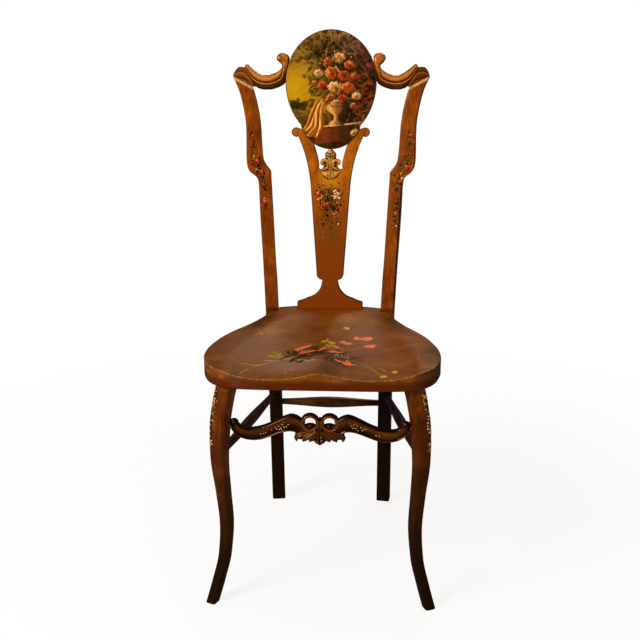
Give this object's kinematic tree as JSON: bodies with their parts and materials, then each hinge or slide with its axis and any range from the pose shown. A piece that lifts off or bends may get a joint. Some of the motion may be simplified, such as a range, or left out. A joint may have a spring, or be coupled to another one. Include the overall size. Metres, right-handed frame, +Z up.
{
  "type": "side chair",
  "caption": "Painted wooden side chair with a saddled plank seat, curved front legs, raked back posts, a fretted splat, scrolled crest arms and an oval painted panel.",
  "frame": {"origin": "on the floor under the middle of the chair's bounding box", "axes": "+X to the right as seen from the front, +Y towards the back, +Z up"},
  "size_m": [0.4188, 0.4836, 0.991],
  "materials": {
    "seat_lacquer": "glossy brown lacquer, painted flowers",
    "leg_lacquer": "glossy brown lacquer with gold flecks",
    "back_lacquer": "glossy orange-brown lacquer, painted sprays",
    "splat_lacquer": "glossy orange-brown lacquer, painted bouquet, gilded carving",
    "panel_picture": "painted garden picture under gloss varnish",
    "spindle_lacquer": "near black brown lacquer",
    "peg_wood": "plain birch",
    "screw_steel": "plain steel"
  },
  "bodies": {
    "root": {"seat_board_front": "seat_lacquer", "seat_board_middle": "seat_lacquer", "seat_board_rear": "seat_lacquer", "seat_joint_dowels": "peg_wood", "front_leg_left": "leg_lacquer", "front_leg_right": "leg_lacquer", "back_post_left": "back_lacquer", "back_post_right": "back_lacquer", "crest_arm_left": "back_lacquer", "crest_arm_right": "back_lacquer", "oval_panel": "panel_picture", "splat": "splat_lacquer", "front_rail": "leg_lacquer", "front_rail_dowels": "peg_wood", "side_spindle_left": "spindle_lacquer", "side_spindle_right": "spindle_lacquer", "rear_spindle": "spindle_lacquer", "crest_post_dowels": "peg_wood", "crest_panel_dowels": "peg_wood", "splat_panel_dowels": "peg_wood", "splat_seat_dowels": "peg_wood", "post_seat_screws": "screw_steel", "post_screw_plugs": "peg_wood"}
  },
  "joints": []
}
